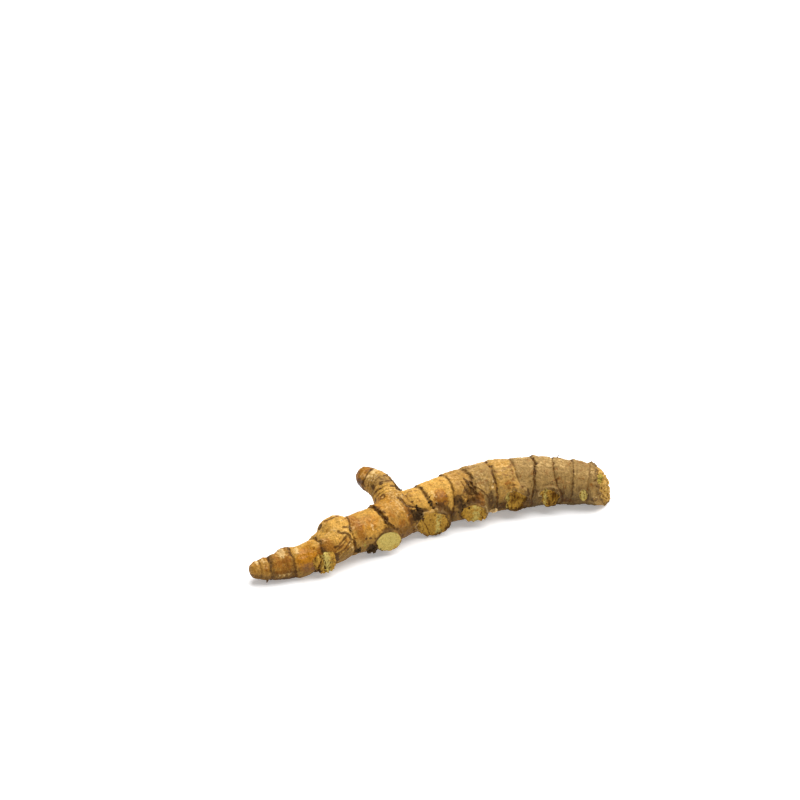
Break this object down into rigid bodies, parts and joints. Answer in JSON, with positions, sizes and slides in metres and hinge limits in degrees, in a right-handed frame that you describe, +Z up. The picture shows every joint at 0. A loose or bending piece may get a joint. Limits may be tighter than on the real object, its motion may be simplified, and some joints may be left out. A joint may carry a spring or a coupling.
{
  "type": "white turmeric root",
  "caption": "A fresh turmeric rhizome lying flat: a bent, tapering body ringed with leaf scars, with cut side shoots, a short finger, resting buds and a broken end.",
  "frame": {"origin": "on the table, at the middle of the box round the root's footprint", "axes": "+X along the root from its growing tip to its broken end, +Y towards the side of the short finger, +Z up from the table"},
  "size_m": [0.1402, 0.0408, 0.0185],
  "materials": {
    "skin": "thin golden tan skin, satin, with dark papery leaf scars and pale yellow cut flesh"
  },
  "bodies": {
    "root": {"rhizome": "skin"}
  },
  "joints": []
}
